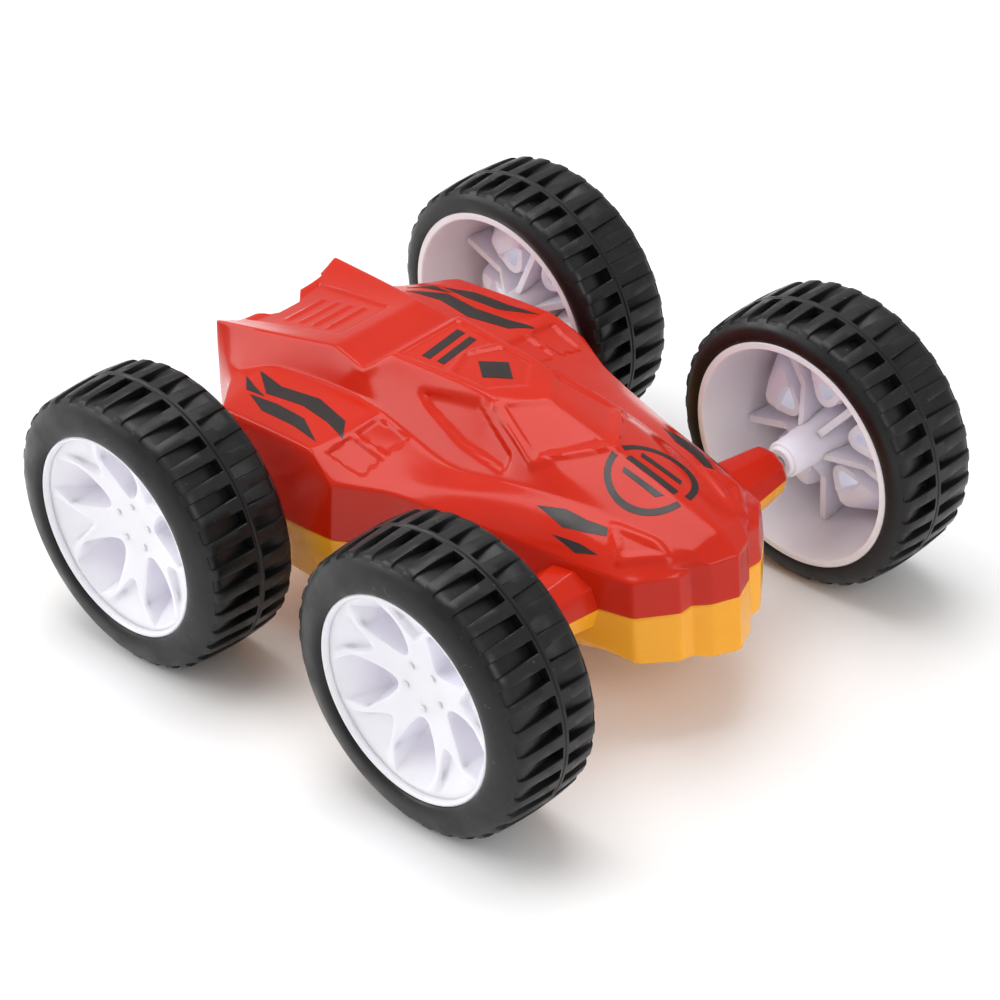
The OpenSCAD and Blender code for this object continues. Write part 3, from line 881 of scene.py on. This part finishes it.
# The section's (w, r) from the outer row's end over the sidewall and half-way down the bore, and the rest.
OUTER_SECTION = [(17.3, STEP_R), (17.7, 23.3), (18.15, 22.4), (18.5, 21.4), (18.72, 20.4), (18.8, 19.6),
                 (18.74, 18.9), (18.5, 18.4), (18.2, 18.16), (17.62, 18.16), (17.3, 18.72), (12, 19.27)]
INNER_SECTION = [(6, 19.9), (0.15, 20.52), (0.02, 20.7), (0.0, 21.6), (0.1, 22.5), (0.4, 23.2),
                 (0.85, STEP_R)]


def tread_columns(t):
    """Places round one pitch: (millimetres at the tread, share of a lug's height)."""
    half = LUG_HALF - LUG_TAPER * t
    return [(-half, LUG_EDGE_SHARE), (-half + LUG_EDGE, 1), (0, 1), (half - LUG_EDGE, 1),
            (half, LUG_EDGE_SHARE), (half + DRAFT, 0), (PITCH / 2, 0), (PITCH - half - DRAFT, 0)]


def tread_ring(w, lug_r, slot_r, t):
    """One ring's (w, offset, r) round a pitch, where t goes from 0 at the seam to 1 at the row's end."""
    return [(w, offset, slot_r + (lug_r - slot_r) * share) for offset, share in tread_columns(t)]


def plain_rings(section, t):
    return [tread_ring(w, r, r, t) for w, r in section]


def tread_row(first_w, last_w):
    """Rings of one lug row from its seam end. Its slots start at an upright wall and run out shallow."""
    rings = []
    for t in (0.0, 0.015, 0.08, 0.2, 0.35, 0.5, 0.65, 0.8, 0.9, 0.965, 1.0):
        lug_r = float(TYRE_R - CROWN * t * t - LUG_END_ROUND * smooth((t - 0.93) / 0.07))
        rise = (SLOT_DEPTH - SLOT_END_DEPTH) * math.sin(t * math.pi / 2) ** 1.3
        slot_r = lug_r - SLOT_DEPTH + rise if t else lug_r
        rings.append(tread_ring(first_w + (last_w - first_w) * t, lug_r, slot_r, t))
    return rings


def half_pitch_on(rings):
    """The rings turned by half a pitch, so that a slot of one row meets a lug of the other."""
    half = COLUMNS // 2
    return [[(w, offset - PITCH / 2, r) for w, offset, r in ring[half:]]
            + [(w, offset + PITCH / 2, r) for w, offset, r in ring[:half]] for ring in rings]


def tyre_rings():
    """All rings round the section: inner row, seam, outer row, outer side and bore, inner side."""
    inner_seam = [(SEAM_W - GROOVE_HALF, TYRE_R), (SEAM_W, TYRE_R - GROOVE_DEPTH)]
    outer_seam = [(SEAM_W + GROOVE_HALF, TYRE_R)]
    rings = tread_row(SEAM_W - SEAM_HALF, INNER_ROW_END)[::-1] + plain_rings(inner_seam, 0)
    rings += half_pitch_on(plain_rings(outer_seam, 0) + tread_row(SEAM_W + SEAM_HALF, OUTER_ROW_END))
    return rings + half_pitch_on(plain_rings(OUTER_SECTION, 1)) + plain_rings(INNER_SECTION, 1)


def make_tyre(name):
    """A tyre about the local z axis with its inner face at z = 0."""
    rings = tyre_rings()
    count = PITCHES * COLUMNS
    points, faces = [], []
    for ring in rings:
        for start in turn(PITCHES):
            for w, offset, r in ring:
                a = start + offset / TYRE_R
                points.append((r * math.cos(a), r * math.sin(a), w))
    for k in range(len(rings)):
        here, there = k * count, (k + 1) % len(rings) * count
        for c in range(count):
            n = (c + 1) % count
            faces.append((here + c, here + n, there + n, there + c))
    return mesh_object(name, points, faces, TYRE, 38)


# ---- Rims: w is measured from the rim's inner face outwards ----
POCKETS = 5
HALF_ANGLE = math.pi / POCKETS


def polar(r, angle):
    return (r * math.cos(angle), r * math.sin(angle))


def on_spoke(r, w, angle=HALF_ANGLE):
    return (*polar(r, angle), w)


# The front skin of half a pocket: (u along the pocket's axis, v across it, w).
# p is the pocket's edge, d and e its floor, s and r the spoke, f the hollow in the spoke, g the rim.
RIM_CAGE = {
    "centre": (0, 0, 13.55), "hub_axis": (3.9, 0, 13.7), "hub_spoke": on_spoke(3.6, 13.75),
    "p0": (5.4, 0, 13.9), "p1": (6.3, 1.4, 14.0), "p1b": (9.4, 3.25, 14.8), "p2": (12.7, 4.8, 16.1),
    "p3": (16.5, 3.4, 17.05), "p4": (16.9, 0, 17.1),
    "s0": on_spoke(5.8, 13.9), "r0": on_spoke(8.2, 14.6), "r1": (12.1, 5.6, 16.1),
    "r2": (16.2, 5.0, 17.05), "f0": on_spoke(9.6, 13.9), "f1": (12.4, 6.15, 14.7),
    "f2": on_spoke(13.4, 14.7), "g1": on_spoke(17.0, 16.9, math.radians(21)), "g2": on_spoke(17.0, 16.8),
    "d0": (6.7, 0, 8.8), "d1": (7.3, 1.0, 8.8), "e0": (9.8, 0, 9.4), "e1": (9.8, 2.3, 9.4),
    "d2": (12.3, 3.6, 10.2), "d3": (13.0, 0, 10.2)}
RIM_FACES = [
    ("hub_axis", "p0", "p1", "s0"), ("hub_axis", "s0", "hub_spoke"), ("centre", "hub_axis", "hub_spoke"),
    ("p1", "p1b", "r0", "s0"), ("p1b", "p2", "r1", "r0"), ("p2", "p3", "r2", "r1"),
    ("r0", "r1", "f1", "f0"), ("r1", "r2", "g1", "f1"), ("f0", "f1", "f2"), ("f1", "g1", "g2", "f2"),
    ("p0", "d0", "d1", "p1"), ("p1", "d1", "e1", "p1b"), ("p1b", "e1", "d2", "p2"),
    ("e0", "d3", "d2", "e1"), ("d3", "p4", "p3", "d2"), ("p2", "d2", "p3")]
RIM_BORDER = ["p4", "p3", "r2", "g1", "g2"]
RIM_CREASES = [
    (["p0", "p1", "p1b", "p2", "p3", "p4"], 0.72), (["r0", "r1", "r2"], 0.7), (["f0", "f1", "g1"], 0.6),
    (["d3", "d2", "e1"], 0.5), (["p3", "d2"], 0.65), (["p2", "d2"], 0.55), (["d0", "d1", "e1", "e0"], 0.8)]
DISC_EDGE_R = 17.75
DISC_EDGE_W = 17.2
DISC_WALL = 1.2
# Closed profiles of (r, w).
BARREL = [(17.3, 16.6), (17.28, 17.55), (17.4, 17.95), (17.65, 18.2), (17.9, 18.2), (18.1, 18.02),
          (18.12, 17.6), (18.68, 17.25), (20.5, 0.2), (20.3, 0.0), (19.4, 0.0), (19.2, 0.2), (17.75, 13.0)]
HUB_BOSS = [(1.03, 12.6), (1.03, -2.2), (1.25, -2.4), (2.35, -2.4), (2.55, -2.2), (2.6, -1.7),
            (3.05, -1.6), (3.2, -1.4), (3.5, 6.0), (4.4, 12.2), (4.4, 12.9)]
RIB_SHAPE = [(2.8, 4.5), (9.0, 9.2), (18.0, 9.6), (18.0, 14.6), (10.0, 13.0), (2.8, 12.9)]
RIB_W = 1.2
NUB_AT = 3.9
NUB_RINGS = [(0.55, 13.2), (0.55, 13.9), (0.42, 14.08), (0.2, 14.15), (0.0, 14.17)]
NUB_TOP = 14.17


class DiscCage(Cage):
    """Front skin of a rim's disc: ten half pockets round the axis, each a side (1 or -1) of a pocket."""

    def __init__(self):
        super().__init__()
        for pocket in range(POCKETS):
            for side in (1, -1):
                self.add_half(pocket, side)

    def vertex(self, name, pocket, side):
        x, y, w = RIM_CAGE[name]
        r, a = math.hypot(x, y), math.atan2(y, x)
        if r == 0:
            key = name
        elif abs(a) < 1e-6:
            key = (name, pocket)
        elif abs(a - HALF_ANGLE) < 1e-6:
            key = (name, "spoke", (pocket + (side > 0)) % POCKETS)
        else:
            key = (name, pocket, side)
        return self.point(key, (*polar(r, 2 * HALF_ANGLE * pocket + side * a), w))

    def border(self, name, pocket, side):
        """The outer edge of the disc, inside the barrel, beside a border point."""
        inner = self.vertex(name, pocket, side)
        x, y, _ = self.points[inner]
        stretch = DISC_EDGE_R / math.hypot(x, y)
        return self.point((inner, "border"), (x * stretch, y * stretch, DISC_EDGE_W))

    def add_half(self, pocket, side):
        rings = [[self.vertex(n, pocket, side) for n in face] for face in RIM_FACES]
        for a, b in zip(RIM_BORDER, RIM_BORDER[1:]):
            rings.append([self.vertex(a, pocket, side), self.border(a, pocket, side),
                          self.border(b, pocket, side), self.vertex(b, pocket, side)])
        self.faces += [ring if side > 0 else ring[::-1] for ring in rings]
        for line, value in RIM_CREASES:
            for a, b in zip(line, line[1:]):
                self.crease(self.vertex(a, pocket, side), self.vertex(b, pocket, side), value)


def nub(angle):
    """Small round stud on the hub face."""
    steps, count = 16, len(NUB_RINGS)
    cx, cy = polar(NUB_AT, angle)
    points = [(cx + r * math.cos(a), cy + r * math.sin(a), w) for a in turn(steps) for r, w in NUB_RINGS]
    foot, top = len(points), len(points) + 1
    points += [(cx, cy, NUB_RINGS[0][1]), (cx, cy, NUB_TOP)]
    faces = []
    for s in range(steps):
        here, there = s * count, (s + 1) % steps * count
        faces += [(here + k, here + k + 1, there + k + 1, there + k) for k in range(count - 1)]
        faces += [(here, there, foot), (here + count - 1, top, there + count - 1)]
    return mesh_object("nub", points, faces, WHITE)


def radial_rib(angle):
    """A flat web on the back of the disc, from the hub boss to the barrel."""
    c, s = math.cos(angle), math.sin(angle)
    points = [(r * c - o * s, r * s + o * c, w) for o in (-RIB_W / 2, RIB_W / 2) for r, w in RIB_SHAPE]
    return mesh_object("rib", points, bridged(len(RIB_SHAPE)), WHITE)


def disc():
    """The dished front with its five pockets."""
    obj = mesh_object("disc", *DiscCage().subdivided(3), WHITE, 50)
    face_outwards(obj.data)
    modifier = obj.modifiers.new("thicken", "SOLIDIFY")
    modifier.thickness = DISC_WALL * MM
    modifier.offset = -1
    return apply_modifiers(obj)


def make_rim(name):
    """A rim about the local z axis with its inner face at z = 0 and a pocket along x."""
    parts = [disc(), mesh_object("barrel", *lathe(BARREL, 160), WHITE),
             mesh_object("hub_boss", *lathe(HUB_BOSS, 48), WHITE)]
    for k in range(POCKETS):
        parts += [nub(2 * HALF_ANGLE * k), radial_rib(HALF_ANGLE * (2 * k + 1))]
    rim = joined(parts, name)
    smooth_by_angle(rim.data, 34)
    return rim


def stand_wheel(obj, x, side, angle):
    """Turns a wheel by an angle about its axis and stands it at its place on the car."""
    turned = Matrix.Rotation(angle, 4, "Z")
    laid = Matrix(((1, 0, 0, x * MM), (0, 0, side, side * TYRE_INNER_Y * MM), (0, 1, 0, AXLE_Z * MM),
                   (0, 0, 0, 1)))
    obj.data.transform(laid @ turned)
    if laid.determinant() < 0:
        obj.data.flip_normals()


# End, hand, place, side, and the angle of one pocket's axis from x towards z.
WHEELS = [("front", "right", FRONT_X, -1, 194.8), ("rear", "right", REAR_X, -1, 160.0),
          ("front", "left", FRONT_X, 1, 158.0), ("rear", "left", REAR_X, 1, 124.0)]
for end, hand, x, side, pocket_angle in WHEELS:
    body = f"{end}_wheel_set"
    rim = make_rim(f"{end}_{hand}_rim_moulding")
    tyre = make_tyre(f"{end}_{hand}_tread_tyre")
    for obj, node, finish in ((rim, f"{end}_{hand}_rim", "wheel_plastic"),
                              (tyre, f"{end}_{hand}_tyre", "tyre")):
        stand_wheel(obj, x, side, math.radians(pocket_angle))
        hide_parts(node)
        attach(obj, body)


# ---- Carried-over CAD nodes ----
CAD_MATERIALS = {
    STEEL: ["front_axle", "rear_axle", "compound_shaft", "flywheel_shaft", "shell_screws", "gearbox_screws"],
    FLYWHEEL: ["flywheel"],
    BRASS: ["flywheel_pinion"],
    GREY: ["gearbox_left", "gearbox_right"],
    NATURAL: ["drive_gear", "compound_gear"]}
for material, names in CAD_MATERIALS.items():
    for name in names:
        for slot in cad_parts[name].material_slots:
            slot.material = material


# ---- Floor, light and camera ----
FLOOR_HALF = 4000
LOOK_AT = Vector((0, 0, 0.02))
WORLD_STRENGTH = 0.62
CAMERA_AZIMUTH = math.radians(47.2)
CAMERA_ELEVATION = math.radians(33.6)
CAMERA_ROLL = math.radians(-4.0)
CAMERA_DISTANCE = 0.6149
CAMERA_TARGET = Vector((0.0013, 0, 0.0203))
LENS = 133.6
SENSOR = 36


def floor_material():
    material, nodes, links, shader = new_material("pale_floor")
    _, ramp = colour_noise(nodes, links, (0.90, 0.90, 0.90), (0.93, 0.93, 0.93), 3)
    links.new(ramp.outputs["Color"], shader.inputs["Base Color"])
    shader.inputs["Roughness"].default_value = 0.8
    return material


floor = mesh_object("floor", [(-FLOOR_HALF, -FLOOR_HALF, 0), (FLOOR_HALF, -FLOOR_HALF, 0),
                              (FLOOR_HALF, FLOOR_HALF, 0), (-FLOOR_HALF, FLOOR_HALF, 0)],
                    [(0, 1, 2, 3)], floor_material())


def soft_light(name, place, size, power):
    """A square soft box in metres, facing the middle of the car."""
    light = bpy.data.lights.new(name, "AREA")
    light.shape = "SQUARE"
    light.size = size
    light.energy = power
    obj = link(bpy.data.objects.new(name, light))
    obj.location = place
    obj.rotation_mode = "QUATERNION"
    obj.rotation_quaternion = (LOOK_AT - Vector(place)).to_track_quat("-Z", "Y")


def make_world():
    world = bpy.data.worlds.new("studio")
    world.use_nodes = True
    background = world.node_tree.nodes["Background"]
    background.inputs["Color"].default_value = (1, 1, 1, 1)
    background.inputs["Strength"].default_value = WORLD_STRENGTH
    bpy.context.scene.world = world
    bpy.context.scene.view_settings.view_transform = "Standard"


def make_camera():
    camera = bpy.data.cameras.new("camera")
    camera.lens = LENS
    camera.sensor_width = SENSOR
    camera.clip_start = 0.01
    camera.clip_end = 20
    obj = link(bpy.data.objects.new("camera", camera))
    flat = math.cos(CAMERA_ELEVATION)
    back = Vector((math.sin(CAMERA_AZIMUTH) * flat, -math.cos(CAMERA_AZIMUTH) * flat,
                   math.sin(CAMERA_ELEVATION)))
    right = (-back).cross(Vector((0, 0, 1))).normalized()
    up = right.cross(-back)
    turned_right = right * math.cos(CAMERA_ROLL) + up * math.sin(CAMERA_ROLL)
    turned_up = up * math.cos(CAMERA_ROLL) - right * math.sin(CAMERA_ROLL)
    axes = Matrix((turned_right, turned_up, back)).transposed()
    obj.matrix_world = Matrix.Translation(CAMERA_TARGET + back * CAMERA_DISTANCE) @ axes.to_4x4()
    bpy.context.scene.camera = obj


soft_light("top_box", (-0.15, 0.1, 0.9), 0.7, 5)
soft_light("left_box", (-0.7, -0.5, 0.5), 0.6, 4)
soft_light("right_box", (0.8, -0.1, 0.5), 0.5, 2)
make_world()
make_camera()
